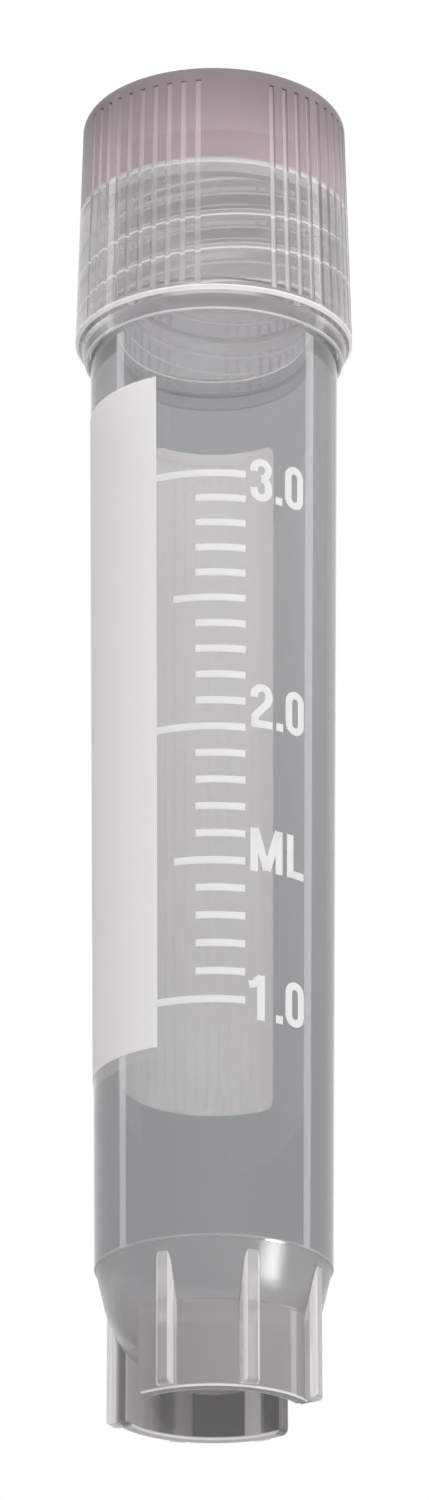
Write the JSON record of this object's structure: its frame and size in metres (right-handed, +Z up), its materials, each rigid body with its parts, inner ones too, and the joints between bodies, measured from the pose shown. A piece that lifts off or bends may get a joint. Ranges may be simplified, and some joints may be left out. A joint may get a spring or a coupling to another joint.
{
  "type": "cryovial",
  "caption": "Self-standing translucent cryovial with a star foot, printed scale and writing panel, and a ribbed screw cap on an external thread.",
  "frame": {"origin": "centre of the foot's resting plane, on the tube's axis", "axes": "+Z up along the tube towards the cap; -Y is the front, with the graduation; +X is to the right"},
  "size_m": [0.0142, 0.0142, 0.0693],
  "materials": {
    "vial_plastic": "natural translucent polypropylene, smooth",
    "cap_plastic": "natural translucent polypropylene, smooth",
    "seal_rubber": "soft satin silicone",
    "white_print": "matte screen print"
  },
  "bodies": {
    "vial": {"vial_body": "vial_plastic", "writing_panel": "white_print", "graduation_marks": "white_print"},
    "seal": {"sealing_ring": "seal_rubber"},
    "cap": {"screw_cap": "cap_plastic"}
  },
  "joints": [
    {"name": "cap_lift", "type": "slide", "parent": "vial", "child": "seal", "axis": [0, 0, 1], "range_m": [0, 0.0057]},
    {"name": "cap_turn", "type": "hinge", "parent": "seal", "child": "cap", "pos_m": [0, 0, 0.0641], "axis": [0, 0, 1], "range_deg": [0, 541]}
  ],
  "couplings": [
    {"joint": "cap_turn", "follows": "cap_lift", "rad_per_m": 1653.5}
  ]
}
